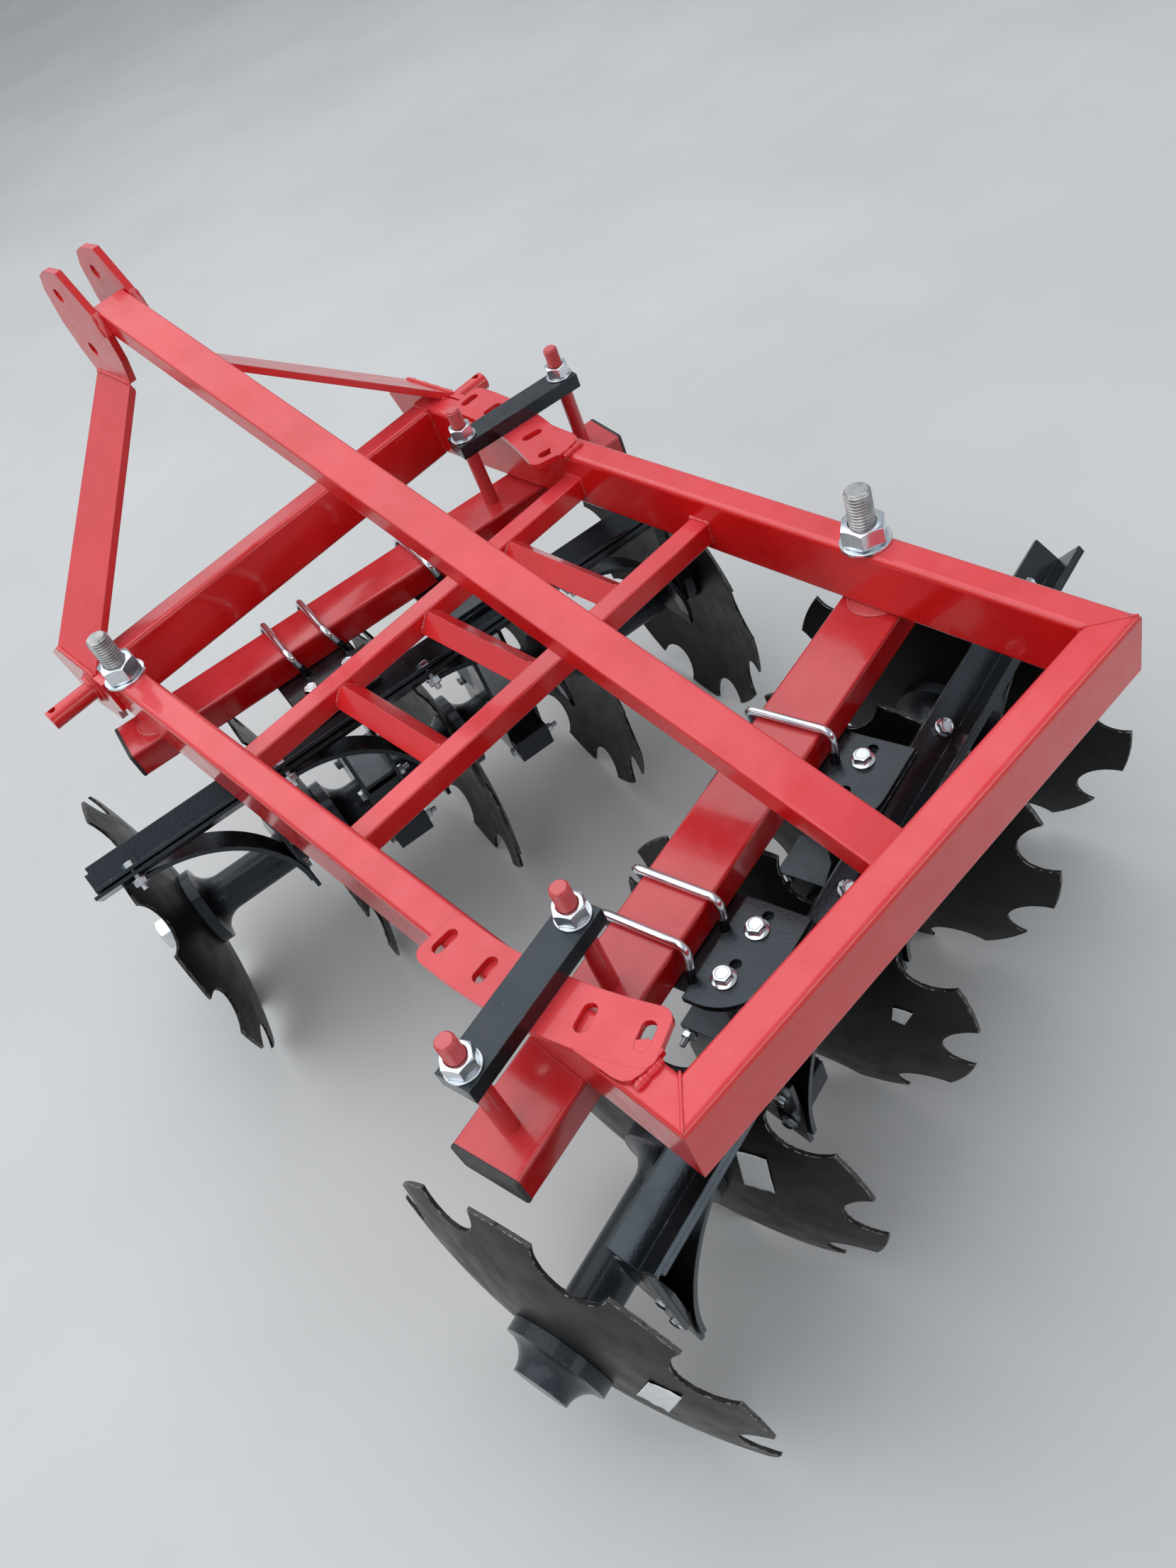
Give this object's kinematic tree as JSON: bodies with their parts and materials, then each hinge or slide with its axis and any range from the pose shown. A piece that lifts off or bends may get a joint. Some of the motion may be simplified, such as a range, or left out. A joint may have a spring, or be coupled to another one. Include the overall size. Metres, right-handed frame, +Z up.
{
  "type": "mounted disc harrow",
  "caption": "Three-point mounted tandem disc harrow: rectangular frame, sloping headstock rail and two swinging gangs of notched dished discs with scrapers.",
  "frame": {"origin": "centre of the bounding box, on the floor the discs stand on", "axes": "+Z up, +Y forwards to the tractor, +X to the right"},
  "size_m": [1.075, 1.4413, 0.985],
  "materials": {
    "frame_red": "gloss",
    "beam_red": "gloss",
    "gang_black": "gloss",
    "disc_black": "satin",
    "cast_black": "satin",
    "zinc": "bright zinc plated"
  },
  "bodies": {
    "frame": {"rail_left": "frame_red", "rail_right": "frame_red", "rail_rear": "frame_red", "rail_front": "frame_red", "cross_tube_rear": "frame_red", "cross_tube_front": "frame_red", "cross_struts": "frame_red", "centre_rail": "frame_red", "mast_ears": "frame_red", "mast_strut_left": "frame_red", "mast_strut_right": "frame_red", "hitch_left": "frame_red", "hitch_right": "frame_red", "slot_plate_left": "frame_red", "slot_plate_right": "frame_red"},
    "rear_beam_unit": {"rear_beam": "beam_red", "rear_studs": "beam_red", "rear_clamp_bar": "gang_black", "rear_fixings": "zinc", "rear_hanger_outer": "gang_black", "rear_hanger_inner": "gang_black", "rear_angle_bar": "gang_black", "rear_scraper_bar": "gang_black", "rear_scrapers": "gang_black", "rear_bearing_outer": "cast_black", "rear_bearing_inner": "cast_black"},
    "rear_gang": {"rear_axle": "zinc", "rear_spools": "cast_black", "rear_end_bell": "cast_black", "rear_disc_1": "disc_black", "rear_disc_2": "disc_black", "rear_disc_3": "disc_black", "rear_disc_4": "disc_black", "rear_disc_5": "disc_black"},
    "front_beam_unit": {"front_beam": "beam_red", "front_studs": "beam_red", "front_clamp_bar": "gang_black", "front_fixings": "zinc", "front_hanger_outer": "gang_black", "front_hanger_inner": "gang_black", "front_angle_bar": "gang_black", "front_scraper_bar": "gang_black", "front_scrapers": "gang_black", "front_bearing_outer": "cast_black", "front_bearing_inner": "cast_black"},
    "front_gang": {"front_axle": "zinc", "front_spools": "cast_black", "front_end_bell": "cast_black", "front_disc_1": "disc_black", "front_disc_2": "disc_black", "front_disc_3": "disc_black", "front_disc_4": "disc_black", "front_disc_5": "disc_black"}
  },
  "joints": [
    {"name": "rear_swing", "type": "hinge", "parent": "frame", "child": "rear_beam_unit", "pos_m": [0.319, -0.335, 0.564], "axis": [0, 0, 1], "range_deg": [-10.5, 10.5]},
    {"name": "front_swing", "type": "hinge", "parent": "frame", "child": "front_beam_unit", "pos_m": [-0.297, 0.401, 0.564], "axis": [0, 0, 1], "range_deg": [-10.5, 10.5]},
    {"name": "rear_spin", "type": "hinge", "parent": "rear_beam_unit", "child": "rear_gang", "pos_m": [0.32072, -0.34384, 0.23], "axis": [0.9816, 0.1908, 0], "continuous": true},
    {"name": "front_spin", "type": "hinge", "parent": "front_beam_unit", "child": "front_gang", "pos_m": [-0.30349, 0.36762, 0.23], "axis": [-0.9816, 0.1908, 0], "continuous": true}
  ]
}
